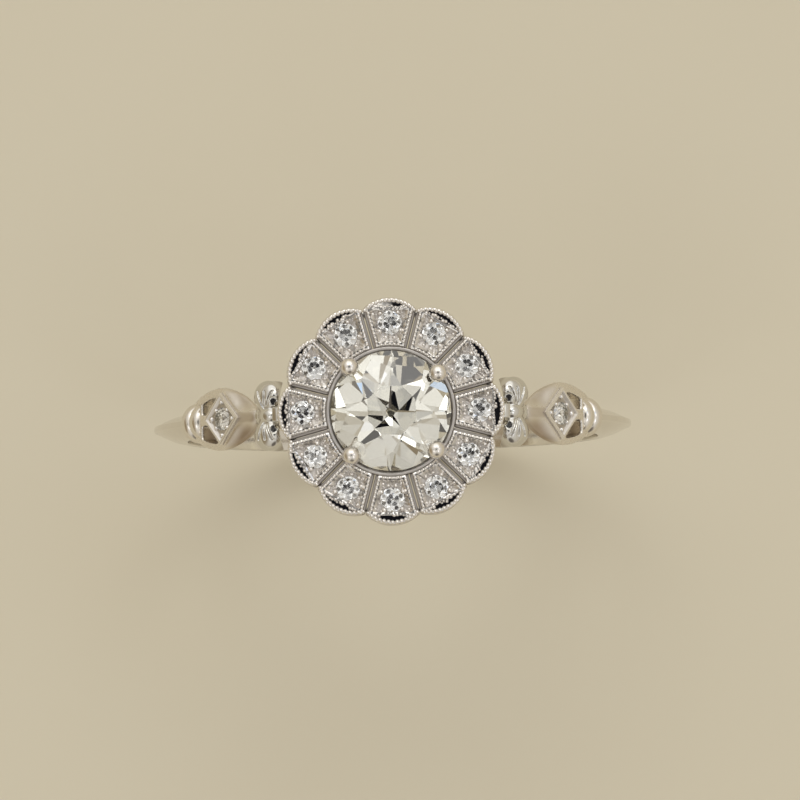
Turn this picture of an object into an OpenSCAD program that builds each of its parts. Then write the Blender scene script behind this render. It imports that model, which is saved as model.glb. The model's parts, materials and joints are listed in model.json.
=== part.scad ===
// Flower-cluster engagement ring, all sizes in millimetres.
// The origin is the centre of the finger hole: +Y runs along the hole, +Z points up through the
// centre diamond and +X points along the ring to the right-hand shoulder.

/* [Shank] */
// Inside diameter of the ring
finger_d = 17; // [15:0.1:19]
// Thickness of the hoop at the crest of its dome
shank_t = 1.4; // [1.2:0.05:1.6]
// Width of the hoop at the finger
shank_w = 1.1; // [1:0.05:1.4]
// Thickness of the finger bridge under the head
bridge_t = 0.7; // [0.5:0.05:0.8]
// Width of the finger bridge
bridge_w = 0.95; // [0.8:0.05:1]

/* [Centre diamond] */
// Diameter of the centre diamond
centre_d = 4.76; // [4.4:0.02:4.8]
// Table width of the centre diamond, as a share of its diameter
centre_table = 0.44; // [0.4:0.01:0.55]
// Height of its crown
centre_crown = 0.78; // [0.6:0.01:0.85]
// Depth of its pavilion
centre_pavilion = 1.98; // [1.8:0.01:2]
// Thickness of its girdle
centre_girdle = 0.1; // [0.06:0.01:0.14]
// Diameter of the wire that the prongs are made from
prong_wire = 0.52; // [0.45:0.01:0.56]
// Diameter of the round end of each prong
prong_ball = 0.75; // [0.7:0.01:0.8]

/* [Halo] */
// Diameter of the halo over the tips of its petals
halo_d = 9; // [8.9:0.02:9.1]
// Radius of the scalloped end of a petal
scallop_r = 1.52; // [1.5:0.01:1.56]
// Width of the groove between neighbouring petals
petal_gap = 0.22; // [0.16:0.01:0.26]
// Thickness of a petal plate
petal_t = 0.9; // [0.8:0.01:1]
// Height of the top of the halo above the centre of the ring
halo_top = 11.5; // [11.45:0.01:11.55]
// Diameter of the halo diamonds
halo_stone_d = 0.96; // [0.86:0.01:1]
// Distance of the halo diamonds from the centre of the halo
halo_stone_r = 3.5; // [3.46:0.01:3.56]

/* [Shoulders] */
// Radius of the long curve over each shoulder
shoulder_r = 13; // [12.9:0.02:13.1]
// Width of the leaf at its widest place
leaf_w = 2.75; // [2.6:0.01:2.9]
// Thickness of the leaf
leaf_t = 0.95; // [0.85:0.01:0.96]
// Width of the lozenge from corner to corner
lozenge_w = 2.1; // [2:0.01:2.14]
// Diameter of the lozenge diamonds
lozenge_stone_d = 0.92; // [0.8:0.01:0.96]
// Length of the bow over its two loops
bow_w = 2.8; // [2.7:0.01:2.9]
// Width of the collar across the shank
collar_w = 1.64; // [1.56:0.01:1.7]

/* [Hidden] */
$fn = 64;
white_metal = [0.82, 0.8, 0.78];
diamond = [0.92, 0.94, 0.96];
petal_count = 12;
strut_count = 6;

finger_r = finger_d / 2;
bridge_r = finger_r + bridge_t;
bead_r = 0.11;
bead_fn = 16;
eps = 0.01;
far = 20;

// The shoulder curve is an arc in the XZ plane. Places along it are angles from +X, as seen from
// its own centre, and grow toward the head.
shoulder_x = -3.085;
shoulder_z = -0.393;
collar_phi = 25.2;
leaf_phi = 31.8;
lozenge_phi = 40.5;
bow_phi = 49;
head_phi = 54.8;
// The domed hoop stops where the collar starts.
hoop_phi = 30.7;

girdle_z = halo_top + 0.1;
centre_culet_r = 0.19;

collet_in = 2.02;
collet_out = 2.57;
collet_top = halo_top - 0.1;
collet_t = 0.7;

petal_tip = halo_d / 2;
petal_half = 180 / petal_count;
petal_bottom = halo_top - petal_t;
petal_field_end = 3.92;
petal_rim = 0.15;
field_depth = 0.14;

rail_in = 3.9;
rail_out = 4.15;
rail_t = 0.45;
base_in = 1.05;
base_out = 1.6;
base_top = 9.5;
strut_w = 0.4;
prong_angles = [37.5, 133, 228, 318];
prong_r = 2.42;
prong_foot_r = 1.33;
prong_bend_z = 10.4;
ball_r = 2.37;
ball_z = girdle_z + 0.4;

function two_digits(i) = i < 10 ? str("0", i) : str(i);

// --- Cut stones ------------------------------------------------------------------------------

// An eight-fold brilliant with flat facets, its girdle centred on z = 0. The mains lie at multiples
// of 45 degrees, and the star and lower-half junctions lie halfway between them.
module brilliant(r, table_r, crown, pavilion, girdle, culet_r, star = 0.5, half = 0.62) {
    top = girdle / 2;
    crown_slope = crown / (r - table_r);
    pavilion_slope = pavilion / (r - culet_r * cos(22.5));
    star_r = table_r + star * (r - table_r);
    half_r = r * half;
    star_z = top + crown - (star_r * cos(22.5) - table_r) * crown_slope;
    half_z = -top - (r - half_r * cos(22.5)) * pavilion_slope;
    points = concat(
        [for (k = [0 : 7]) [table_r * cos(45 * k), table_r * sin(45 * k), top + crown]],
        [for (k = [0 : 7]) [star_r * cos(45 * k + 22.5), star_r * sin(45 * k + 22.5), star_z]],
        [for (k = [0 : 15]) [r * cos(22.5 * k), r * sin(22.5 * k), top]],
        [for (k = [0 : 15]) [r * cos(22.5 * k), r * sin(22.5 * k), -top]],
        [for (k = [0 : 7]) [half_r * cos(45 * k + 22.5), half_r * sin(45 * k + 22.5), half_z]],
        [for (k = [0 : 7]) [culet_r * cos(45 * k + 22.5), culet_r * sin(45 * k + 22.5), -top - pavilion]]
    );
    stars = 8;
    upper = 16;
    lower = 32;
    halves = 48;
    culet = 56;
    faces = concat(
        [[for (k = [7 : -1 : 0]) k]],
        [for (k = [0 : 7]) [k, (k + 1) % 8, stars + k]],
        [for (k = [0 : 7]) [k, stars + k, upper + 2 * k, stars + (k + 7) % 8]],
        [for (k = [0 : 7]) [stars + k, upper + 2 * k + 1, upper + 2 * k]],
        [for (k = [0 : 7]) [stars + k, upper + (2 * k + 2) % 16, upper + 2 * k + 1]],
        [for (k = [0 : 15]) [upper + k, upper + (k + 1) % 16, lower + (k + 1) % 16, lower + k]],
        [for (k = [0 : 7]) [halves + k, lower + 2 * k, lower + 2 * k + 1]],
        [for (k = [0 : 7]) [halves + k, lower + 2 * k + 1, lower + (2 * k + 2) % 16]],
        [for (k = [0 : 7]) [lower + 2 * k, halves + k, culet + k, culet + (k + 7) % 8, halves + (k + 7) % 8]],
        [[for (k = [0 : 7]) culet + k]]
    );
    polyhedron(points = points, faces = faces);
}

// The plain round cone that a brilliant of the same size fits inside, grown a little, for seats.
module seat(r, table_r, crown, pavilion, girdle, culet_r) {
    grow = 0.02 * r + 0.01;
    rotate_extrude()
        polygon([
            [0, girdle / 2 + crown + 3 * grow],
            [table_r + grow, girdle / 2 + crown + 3 * grow],
            [r + grow, girdle / 2 + 2 * grow],
            [r + grow, -girdle / 2],
            [culet_r, -girdle / 2 - pavilion - grow],
            [0, -girdle / 2 - pavilion - grow]
        ]);
}

// A small round brilliant of diameter d, and its seat.
module small_brilliant(d) {
    brilliant(d / 2, 0.28 * d, 0.15 * d, 0.42 * d, 0.03 * d, 0.01 * d);
}

module small_seat(d) {
    seat(d / 2, 0.28 * d, 0.15 * d, 0.42 * d, 0.03 * d, 0.01 * d);
}

module centre_seat() {
    translate([0, 0, girdle_z])
        seat(centre_d / 2, centre_table * centre_d / 2, centre_crown, centre_pavilion, centre_girdle,
            centre_culet_r);
}

// Four beads raised at the corners of a square around a stone, pushed over its edge.
module corner_beads(d, turn) {
    for (k = [0 : 3])
        rotate([0, 0, turn + 90 * k])
            translate([d / 2 + 0.06, 0, 0])
                sphere(r = bead_r, $fn = bead_fn);
}

// --- Hoop ------------------------------------------------------------------------------------

// Turns a profile in the (radius, Y) plane around the hole's axis, from one angle up to another.
module around_finger(from, sweep) {
    rotate([90, 0, 0])
        rotate_extrude(start = from, angle = sweep, $fn = 160)
            children();
}

// Section of the domed shank: sides that rise from the finger to a narrow crest. Its foot reaches
// a little inside the hole, which is bored through it afterwards.
module shank_profile() {
    steps = 9;
    crest_w = 0.06;
    flank = [for (k = [0 : steps]) let (t = k / steps)
        [finger_r + shank_t * t, crest_w + (shank_w / 2 - crest_w) * (1 - pow(t, 1.8))]];
    other = [for (k = [steps : -1 : 0]) [flank[k][0], -flank[k][1]]];
    foot = finger_r - shank_t / 4;
    polygon(concat([[foot, shank_w / 2]], flank, other, [[foot, -shank_w / 2]]));
}

// A disc around the hole's axis.
module finger_disc(r, width) {
    rotate([90, 0, 0])
        cylinder(r = r, h = width, center = true, $fn = 160);
}

// The domed hoop up to the collars, with the thin bridge closing it under the head.
module shank() {
    color(white_metal)
        difference() {
            union() {
                around_finger(180 - hoop_phi, 180 + 2 * hoop_phi)
                    shank_profile();
                finger_disc(bridge_r, bridge_w);
            }
            finger_disc(finger_r, 2 * shank_w);
        }
}

// --- Shoulders: the right one is drawn, and the left one is its mirror image -------------------

module side(name) {
    if (name == "left")
        mirror([1, 0, 0])
            children();
    else
        children();
}

// Places children on the shoulder curve: +X outward, +Z along the curve toward the head.
module on_shoulder(phi, depth = 0) {
    translate([shoulder_x, 0, shoulder_z])
        rotate([0, -phi, 0])
            translate([shoulder_r - depth, 0, 0])
                children();
}

// Places children so that +X runs along the curve and +Z points outward from it.
module facing_out(phi, depth = 0) {
    on_shoulder(phi, depth)
        rotate([180, -90, 0])
            children();
}

// A slice of the shoulder curve between two depths and two angles.
module shoulder_band(top, bottom, from, to) {
    translate([shoulder_x, 0, shoulder_z])
        rotate([90, 0, 0])
            rotate_extrude(start = from, angle = to - from, $fn = 160)
                translate([shoulder_r - bottom, -leaf_w])
                    square([bottom - top, 2 * leaf_w]);
}

// One collar ring: a disc with a half-round edge, square across the shank.
module collar_ring(phi, width) {
    on_shoulder(phi, collar_w / 2)
        rotate_extrude()
            union() {
                translate([0, -width / 2])
                    square([(collar_w - width) / 2, width]);
                intersection() {
                    translate([(collar_w - width) / 2, 0])
                        circle(r = width / 2, $fn = 32);
                    translate([0, -width])
                        square([collar_w, 2 * width]);
                }
            }
}

module collar(name) {
    ring_phi = (leaf_phi - collar_phi) / 2;
    ring_w = ring_phi * PI / 180 * (shoulder_r - collar_w / 2);
    color(white_metal)
        side(name)
            difference() {
                union() {
                    collar_ring(collar_phi + ring_phi / 2, ring_w);
                    collar_ring(leaf_phi - ring_phi / 2, ring_w);
                }
                finger_disc(bridge_r, bridge_w);
                finger_disc(finger_r, far);
            }
}

// Where two arcs of one radius, leaf_w apart at their widest, overlap.
module leaf_lens(arc_r, inset) {
    intersection_for (way = [-1, 1])
        translate([0, way * (arc_r - leaf_w / 2)])
            circle(r = arc_r - inset, $fn = 128);
}

// Outline of the leaf: it narrows in long arcs toward the collar and in shorter ones toward the bow.
module leaf_outline(inset = 0) {
    collar_arc_r = 4.2;
    bow_arc_r = 2.8;
    translate([-0.15, 0]) {
        intersection() {
            leaf_lens(collar_arc_r, inset);
            translate([-leaf_w, -leaf_w])
                square([leaf_w, 2 * leaf_w]);
        }
        intersection() {
            leaf_lens(bow_arc_r, inset);
            translate([0, -leaf_w])
                square([leaf_w, 2 * leaf_w]);
        }
    }
}

module lozenge_outline(grow = 0) {
    rotate(45)
        square(lozenge_w / sqrt(2) + 2 * grow, center = true);
}

// The raised part of the leaf toward the bow: a border round the lozenge that runs out in a thin
// stem, with an arc of hollow_r between the border and the stem on each side.
module stem_outline() {
    stem_w = 0.3;
    border = 0.1;
    hollow_r = 1.1;
    side_line = lozenge_w / 2 + border * sqrt(2);
    arc_x = side_line - stem_w / 2 + hollow_r * (sqrt(2) - 1);
    arc_y = stem_w / 2 + hollow_r;
    hollow = concat(
        [for (turn = [225 : 5 : 270]) [arc_x + hollow_r * cos(turn), arc_y + hollow_r * sin(turn)]],
        [[2 * leaf_w, stem_w / 2], [2 * leaf_w, 2 * leaf_w], [side_line - 2 * leaf_w, 2 * leaf_w]]
    );
    difference() {
        square(4 * leaf_w, center = true);
        for (way = [0, 1])
            mirror([0, way])
                polygon(hollow);
    }
}

// The two windows pierced between the lozenge and the collar.
module window_outline() {
    rail = 0.3;
    spine = 0.16;
    intersection() {
        leaf_outline(rail);
        difference() {
            translate([-1.72, -leaf_w / 2])
                square([1.57, leaf_w]);
            lozenge_outline(0.12);
            translate([-far, -spine])
                square([far, 2 * spine]);
        }
    }
}

// Extrudes an outline on the lozenge's plane right through the leaf.
module through_leaf() {
    facing_out(lozenge_phi, 2 * leaf_t)
        linear_extrude(3 * leaf_t)
            children();
}

// The leaf: a curved plate, sunk on either side of its stem and pierced beside its collar.
module shoulder(name) {
    sunk = 0.3;
    color(white_metal)
        side(name)
            difference() {
                intersection() {
                    shoulder_band(0, leaf_t, leaf_phi, bow_phi);
                    through_leaf()
                        leaf_outline();
                }
                difference() {
                    shoulder_band(-sunk, sunk, lozenge_phi, bow_phi + 2);
                    through_leaf()
                        stem_outline();
                }
                through_leaf()
                    window_outline();
                through_leaf()
                    lozenge_outline();
            }
}

lozenge_rise = 0.14;
lozenge_stone_z = lozenge_rise - 0.14;

// Square collet set on its corner in the leaf, its rim standing just proud of it.
module lozenge_collet(name) {
    color(white_metal)
        side(name)
            facing_out(lozenge_phi)
                difference() {
                    union() {
                        translate([0, 0, -leaf_t + 0.1])
                            linear_extrude(leaf_t - 0.1 + lozenge_rise - field_depth)
                                lozenge_outline();
                        translate([0, 0, -field_depth])
                            linear_extrude(field_depth + lozenge_rise)
                                difference() {
                                    lozenge_outline();
                                    lozenge_outline(-0.13);
                                }
                        translate([0, 0, lozenge_stone_z + 0.03])
                            corner_beads(lozenge_stone_d, 45);
                    }
                    translate([0, 0, lozenge_stone_z])
                        small_seat(lozenge_stone_d);
                    translate([0, 0, -2 * leaf_t])
                        cylinder(r = 0.28, h = 2 * leaf_t);
                }
}

module lozenge_diamond(name) {
    color(diamond)
        side(name)
            facing_out(lozenge_phi)
                translate([0, 0, lozenge_stone_z])
                    small_brilliant(lozenge_stone_d);
}

// A bow of two domed loops and a knot, with a foot that reaches in to the gallery rail.
module bow(name) {
    loop_r = 0.62;
    knot_w = 0.64;
    dome_r = 0.95;
    bow_t = 0.8;
    centre_phi = (bow_phi + head_phi) / 2;
    color(white_metal)
        side(name)
            difference() {
                union() {
                    difference() {
                        intersection() {
                            union() {
                                for (way = [-1, 1])
                                    facing_out(centre_phi, bow_t)
                                        translate([0, way * (bow_w / 2 - loop_r), 0])
                                            intersection() {
                                                cylinder(r = loop_r, h = 2 * bow_t);
                                                translate([0, 0, bow_t + 0.25 - dome_r])
                                                    sphere(r = dome_r);
                                            }
                                facing_out(centre_phi, bow_t)
                                    translate([-0.6, -knot_w / 2, 0])
                                        cube([1.2, knot_w, bow_t + 0.16]);
                                facing_out(centre_phi, bow_t)
                                    translate([-0.35, -bow_w / 2 + loop_r, 0])
                                        cube([0.7, bow_w - 2 * loop_r, bow_t]);
                            }
                            shoulder_band(-1, 1, bow_phi, head_phi + 1);
                        }
                        cylinder(r = petal_tip, h = far);
                    }
                    translate([(rail_in + rail_out) / 2, -0.3, petal_bottom - rail_t])
                        cube([0.7, 0.6, rail_t - 0.02]);
                }
                for (way = [-1, 1], end = [-1, 1])
                    facing_out(centre_phi, 0.25)
                        translate([end * 0.62, way * 0.42, 0])
                            cylinder(r = 0.16, h = bow_t, $fn = 24);
                translate([0, 0, petal_bottom - 0.02])
                    cylinder(r = petal_tip + 0.1, h = petal_t);
                cylinder(r = rail_out, h = far);
            }
}

// --- Halo ------------------------------------------------------------------------------------

// Outline of a petal that points along +X, drawn in from its edge by an inset.
module petal_outline(inset = 0) {
    side_gap = petal_gap / 2 + inset;
    reach = petal_tip + 1;
    intersection() {
        translate([petal_tip - scallop_r, 0])
            circle(r = scallop_r - inset);
        translate([side_gap / sin(petal_half), 0])
            polygon([[0, 0], [reach, -reach * tan(petal_half)], [reach, reach * tan(petal_half)]]);
        difference() {
            circle(r = reach);
            circle(r = collet_out + inset);
        }
    }
}

module petal_stone_place(i) {
    rotate([0, 0, 90 - 2 * petal_half * (i % petal_count)])
        translate([halo_stone_r, 0, halo_top - field_depth])
            children();
}

// One plate of the halo, with a sunk field for its stone and a bright-cut bevel at its tip.
module halo_petal(i) {
    color(white_metal)
        difference() {
            union() {
                rotate([0, 0, 90 - 2 * petal_half * (i % petal_count)])
                    difference() {
                        translate([0, 0, petal_bottom])
                            linear_extrude(petal_t)
                                petal_outline();
                        translate([0, 0, halo_top - field_depth])
                            linear_extrude(petal_t)
                                intersection() {
                                    petal_outline(petal_rim);
                                    translate([0, -petal_tip])
                                        square([petal_field_end, 2 * petal_tip]);
                                }
                        translate([0, 0, halo_top - field_depth / 2])
                            linear_extrude(petal_t)
                                intersection() {
                                    petal_outline(petal_rim / 2);
                                    translate([petal_field_end + petal_rim / 2, -petal_tip])
                                        square([petal_tip, 2 * petal_tip]);
                                }
                    }
                petal_stone_place(i)
                    translate([0, 0, 0.02])
                        corner_beads(halo_stone_d, 45);
            }
            petal_stone_place(i)
                small_seat(halo_stone_d);
            petal_stone_place(i)
                translate([0, 0, -petal_t])
                    cylinder(r = 0.27, h = petal_t);
        }
}

module halo_diamond(i) {
    color(diamond)
        petal_stone_place(i)
            small_brilliant(halo_stone_d);
}

// --- Gallery ---------------------------------------------------------------------------------

// A plain ring around the head's axis, given by its radii and its lowest and highest z.
module flat_ring(inner, outer, bottom, top) {
    translate([0, 0, bottom])
        difference() {
            cylinder(r = outer, h = top - bottom);
            translate([0, 0, -eps])
                cylinder(r = inner, h = top - bottom + 2 * eps);
        }
}

module gallery_rail() {
    color(white_metal)
        flat_ring(rail_in, rail_out, petal_bottom - rail_t, petal_bottom);
}

// Ring that stands on the finger bridge and carries the prongs and struts.
module base_rail() {
    color(white_metal)
        difference() {
            flat_ring(base_in, base_out, finger_r, base_top);
            finger_disc(bridge_r, far);
        }
}

// A flat strut that sweeps out in a curve from the base rail to the underside of the gallery rail.
module gallery_strut(i) {
    steps = 8;
    rise = petal_bottom - rail_t - (base_top - 0.3);
    run = rail_in - base_out;
    curve = [for (k = [0 : steps]) let (t = k / steps)
        [base_out + run * t, base_top - 0.3 + rise * pow(t, 1.6)]];
    under = [for (k = [steps : -1 : 0]) [curve[k][0] + 0.12, curve[k][1] - 0.3]];
    color(white_metal)
        rotate([0, 0, 30 + 360 / strut_count * (i - 1)])
            difference() {
                rotate([90, 0, 0])
                    linear_extrude(strut_w, center = true)
                        polygon(concat(curve, [[rail_out, petal_bottom - rail_t]], under));
                cylinder(r = base_out, h = far);
            }
}

// --- Centre head -----------------------------------------------------------------------------

module at_prong(i) {
    rotate([0, 0, prong_angles[i - 1]])
        children();
}

// The upright part of a prong's wire, beside the girdle of the centre diamond.
module prong_upright(i) {
    at_prong(i)
        translate([prong_r, 0, prong_bend_z])
            cylinder(d = prong_wire, h = ball_z - prong_bend_z);
}

// One prong: a wire that leans out from the base rail, turns upright and ends in a ball.
module prong(i) {
    lean = atan2(prong_r - prong_foot_r, prong_bend_z - base_top);
    length = norm([prong_r - prong_foot_r, prong_bend_z - base_top]);
    color(white_metal)
        difference() {
            union() {
                at_prong(i)
                    translate([prong_foot_r, 0, base_top])
                        rotate([0, lean, 0])
                            translate([0, 0, -prong_wire])
                                cylinder(d = prong_wire, h = length + prong_wire);
                at_prong(i)
                    translate([prong_r, 0, prong_bend_z])
                        sphere(d = prong_wire + 0.04);
                prong_upright(i);
                at_prong(i)
                    translate([ball_r, 0, ball_z])
                        sphere(d = prong_ball);
            }
            centre_seat();
            flat_ring(collet_out, petal_tip, base_top, halo_top);
            translate([0, 0, base_top - 2])
                cylinder(r = petal_tip, h = 2);
        }
}

// Round tube that holds the centre diamond just under its girdle, notched for the prongs.
module centre_collet() {
    color(white_metal)
        difference() {
            flat_ring(collet_in, collet_out, collet_top - collet_t, collet_top);
            centre_seat();
            for (i = [1 : len(prong_angles)])
                prong_upright(i);
        }
}

module centre_diamond() {
    color(diamond)
        translate([0, 0, girdle_z])
            brilliant(centre_d / 2, centre_table * centre_d / 2, centre_crown, centre_pavilion,
                centre_girdle, centre_culet_r);
}

// --- Assembly --------------------------------------------------------------------------------

shank();
collar("left");  // left_collar
collar("right");  // right_collar
shoulder("left");  // left_shoulder
shoulder("right");  // right_shoulder
lozenge_collet("left");  // left_lozenge_collet
lozenge_collet("right");  // right_lozenge_collet
lozenge_diamond("left");  // left_lozenge_diamond
lozenge_diamond("right");  // right_lozenge_diamond
bow("left");  // left_bow
bow("right");  // right_bow
for (i = [1 : petal_count])
    halo_petal(i);
for (i = [1 : petal_count])
    halo_diamond(i);
gallery_rail();
for (i = [1 : strut_count])
    gallery_strut(i);
base_rail();
for (i = [1 : len(prong_angles)])
    prong(i);
centre_collet();
centre_diamond();
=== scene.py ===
"""Looks for the flower-cluster engagement ring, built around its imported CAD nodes.

Lengths are in millimetres in the ring's own frame (+Y along the finger hole, +Z up through the
centre diamond) and become metres when a mesh is made. A petal is drawn pointing along +X and then
turned to its place. A shoulder is drawn in (u, v, w): u runs along the shoulder's curve toward the
head, v across it and w outward from it.
"""

import json
import math
import random

import bmesh
import bpy
import numpy as np
from mathutils import Matrix, Vector


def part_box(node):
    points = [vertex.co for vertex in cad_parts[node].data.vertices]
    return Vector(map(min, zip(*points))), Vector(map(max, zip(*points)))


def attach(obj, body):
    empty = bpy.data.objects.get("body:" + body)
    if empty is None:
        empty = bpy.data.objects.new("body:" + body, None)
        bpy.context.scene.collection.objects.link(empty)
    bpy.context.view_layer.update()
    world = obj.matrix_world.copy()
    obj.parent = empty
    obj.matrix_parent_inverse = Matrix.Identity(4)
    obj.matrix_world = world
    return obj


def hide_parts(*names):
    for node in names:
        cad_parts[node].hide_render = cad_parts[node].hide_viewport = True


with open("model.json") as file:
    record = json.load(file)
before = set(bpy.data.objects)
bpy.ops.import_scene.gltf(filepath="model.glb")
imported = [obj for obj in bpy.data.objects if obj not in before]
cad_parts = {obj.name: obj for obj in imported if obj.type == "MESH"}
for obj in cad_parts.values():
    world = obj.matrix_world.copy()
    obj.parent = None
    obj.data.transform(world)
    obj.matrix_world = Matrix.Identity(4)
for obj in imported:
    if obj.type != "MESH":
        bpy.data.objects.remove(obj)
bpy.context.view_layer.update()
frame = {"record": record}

MM = 0.001


def box_mm(node):
    """Lowest and highest corner of a CAD node, in millimetres."""
    low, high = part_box(node)
    return [value / MM for value in low], [value / MM for value in high]


# --- Sizes -------------------------------------------------------------------------------------

# Hoop, whose domed part ends HOOP_END above the X axis, and the thin bridge that closes it
FLOOR_Z = box_mm("shank")[0][2]
HOOP_R = box_mm("shank")[1][0]
FINGER_R = frame["record"]["mounts"][0]["dims"]["r_mm"]
HOOP_HALF_W = frame["record"]["mounts"][0]["dims"]["length_mm"] / 2
BRIDGE_R = box_mm("shank")[1][2]
BRIDGE_HALF_W = 0.475
HOOP_END = math.radians(30.7)

# Halo: petals with scalloped ends, the gap between them and the depth of their sunk fields
HALO_TOP = box_mm("halo_petal_12")[1][2]
HALO_TIP = box_mm("halo_petal_12")[1][1]
PETAL_BOTTOM = box_mm("halo_petal_12")[0][2]
PETAL_COUNT = 12
PETAL_HALF = math.pi / PETAL_COUNT
PETAL_GAP = 0.22
SCALLOP_R = 1.52
FIELD_DEPTH = 0.14
# Straight sides of the bright-cut crescent and of the field inside it, from the halo's centre
CHORD_OUT = 4.09
CHORD_IN = 3.99
LIP = 0.14
# How deep a crescent is cut, and the share of its width that its depth may not pass
CUT_DEPTH = 0.060
CUT_SLOPE = 0.9
# Tones of mirror-bright cuts and of grains
BRIGHT_CUT = -0.8
GRAIN = -0.4

# Stones; the centre stone's table is a share of its radius, and its culet is a radius
STONE_LOW, STONE_HIGH = box_mm("halo_diamond_12")
HALO_STONE_R = (STONE_LOW[1] + STONE_HIGH[1]) / 2
HALO_STONE_D = STONE_HIGH[1] - STONE_LOW[1]
LOZENGE_STONE_D = 0.92

CENTRE_LOW, CENTRE_HIGH = box_mm("centre_diamond")
CENTRE_R = CENTRE_HIGH[0]
CENTRE_GIRDLE = 0.1
CENTRE_CROWN = 0.78
CENTRE_TABLE = 0.44
CENTRE_CULET = 0.22
GIRDLE_Z = CENTRE_HIGH[2] - CENTRE_CROWN - CENTRE_GIRDLE / 2

# Centre head: collet, gallery rail, base rail, struts and prongs, whose angles are in degrees
COLLET_IN = 2.02
COLLET_OUT = box_mm("centre_collet")[1][0]
COLLET_LOW, COLLET_TOP = box_mm("centre_collet")[0][2], box_mm("centre_collet")[1][2]
RAIL_IN = 3.9
RAIL_OUT = box_mm("gallery_rail")[1][0]
RAIL_LOW, RAIL_TOP = box_mm("gallery_rail")[0][2], box_mm("gallery_rail")[1][2]
BASE_IN = 1.05
BASE_OUT = box_mm("base_rail")[1][0]
BASE_LOW, BASE_TOP = box_mm("base_rail")[0][2], box_mm("base_rail")[1][2]
STRUT_W = 0.4
STRUT_COUNT = 6
PRONG_ANGLES = (37.5, 133.0, 228.0, 318.0)
PRONG_R = 2.42
PRONG_FOOT_R = 1.33
PRONG_BEND_Z = 10.4
PRONG_WIRE = 0.52
BALL_R = 2.37
BALL_D = 0.75
BALL_Z = box_mm("prong_1")[1][2] - BALL_D / 2

# Shoulders: the centre and radius of their curve, and the angles along it, in degrees, where the
# collar, the leaf and the bow begin, where the lozenge's middle is and where the bow ends
SHOULDER_X, SHOULDER_Z, SHOULDER_R = -3.085, -0.393, 13.0
COLLAR_PHI, LEAF_PHI, LOZENGE_PHI, BOW_PHI, HEAD_PHI = 25.2, 31.8, 40.5, 49.0, 54.8
COLLAR_W = 1.64
LEAF_W = 2.75
LEAF_T = 0.95
LEAF_COLLAR_ARC_R, LEAF_BOW_ARC_R = 4.2, 2.8
LEAF_END_X = 7.73
LOZENGE_W = 2.1
LOZENGE_RISE = 0.14
BOW_W = 2.8
BOW_DEPTH = 0.8
BOW_LOOP_R = 0.66
BOW_DOME = 0.41
BOW_SINK = 0.16


# --- Mesh making -------------------------------------------------------------------------------

def full_turn(count):
    """Angles spread evenly round a circle."""
    return [math.tau * k / count for k in range(count)]


def circle(centre, r, turns):
    """Points of a level circle, one for each angle."""
    x, y, z = centre
    return [(x + r * math.cos(turn), y + r * math.sin(turn), z) for turn in turns]


class Shape:
    """Points and faces of one piece, gathered in millimetres. A point's tone is painted shade: it runs
    from 0, clean metal, to 1, the painted shade of a groove's bottom; below 0 the metal is brighter
    polished."""

    def __init__(self):
        self.points = []
        self.faces = []
        self.tones = []

    def add(self, points, faces, tone=0.0):
        """Adds points and the faces between them, with one tone or a list of tones."""
        start = len(self.points)
        self.points.extend(tuple(point) for point in points)
        self.faces.extend([start + index for index in face] for face in faces)
        self.tones.extend(tone if isinstance(tone, list) else [tone] * len(points))

    def loft(self, rings, tones=None, closed=False):
        """Skins rings with equally many points and one tone to a ring, with a cap at each end
        unless they close."""
        count = len(rings[0])
        faces = []
        for low in range(len(rings) if closed else len(rings) - 1):
            high = (low + 1) % len(rings)
            for j in range(count):
                k = (j + 1) % count
                faces.append([low * count + j, low * count + k, high * count + k, high * count + j])
        if not closed:
            faces.append(list(range(count)))
            faces.append(list(range((len(rings) - 1) * count, len(rings) * count)))
        tone = 0.0 if tones is None else [value for value in tones for _ in range(count)]
        self.add([point for ring in rings for point in ring], faces, tone)

    def lathe(self, profile, segments=128, tones=None):
        """Turns a closed profile of (radius, z) round the Z axis."""
        turns = full_turn(segments)
        self.loft([circle((0.0, 0.0, z), r, turns) for r, z in profile], tones, closed=True)

    def dome(self, centre, radius, height, segments=10, tone=0.0):
        """A bead: the upper half of an ellipsoid, closed underneath."""
        x, y, z = centre
        rows = 3
        points = []
        for row in range(rows):
            lift = math.pi / 2 * row / rows
            level = z + height * math.sin(lift)
            points.extend(circle((x, y, level), radius * math.cos(lift), full_turn(segments)))
        points.append((x, y, z + height))
        top = len(points) - 1
        faces = [list(range(segments))]
        for k in range(segments):
            after = (k + 1) % segments
            for row in range(rows - 1):
                low, high = row * segments, (row + 1) * segments
                faces.append([low + k, low + after, high + after, high + k])
            faces.append([(rows - 1) * segments + k, (rows - 1) * segments + after, top])
        self.add(points, faces, tone)

    def moved(self, place):
        """The same shape with every point put through a function."""
        other = Shape()
        other.add([place(*point) for point in self.points], self.faces, list(self.tones))
        return other

    def finish(self, node, material, sharp=40.0):
        """Makes the metal object that stands for a CAD node, with edges above an angle sharp."""
        mesh = bpy.data.meshes.new(node + "_look")
        mesh.from_pydata([[value * MM for value in point] for point in self.points], [], self.faces)
        editable = bmesh.new()
        editable.from_mesh(mesh)
        bmesh.ops.recalc_face_normals(editable, faces=editable.faces)
        editable.to_mesh(mesh)
        editable.free()
        # The tone attribute carries the painted shade that the metal mixes into its colour.
        tone = mesh.attributes.new("tone", "FLOAT", "POINT")
        tone.data.foreach_set("value", self.tones)
        mesh.shade_smooth()
        if sharp is not None:
            mesh.set_sharp_from_angle(angle=math.radians(sharp))
        show(mesh, node, material)


def show(mesh, node, material):
    """Puts a mesh in the scene in place of a CAD node."""
    piece = bpy.data.objects.new(node + "_look", mesh)
    bpy.context.scene.collection.objects.link(piece)
    mesh.materials.append(material)
    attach(piece, "root")
    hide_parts(node)


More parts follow.
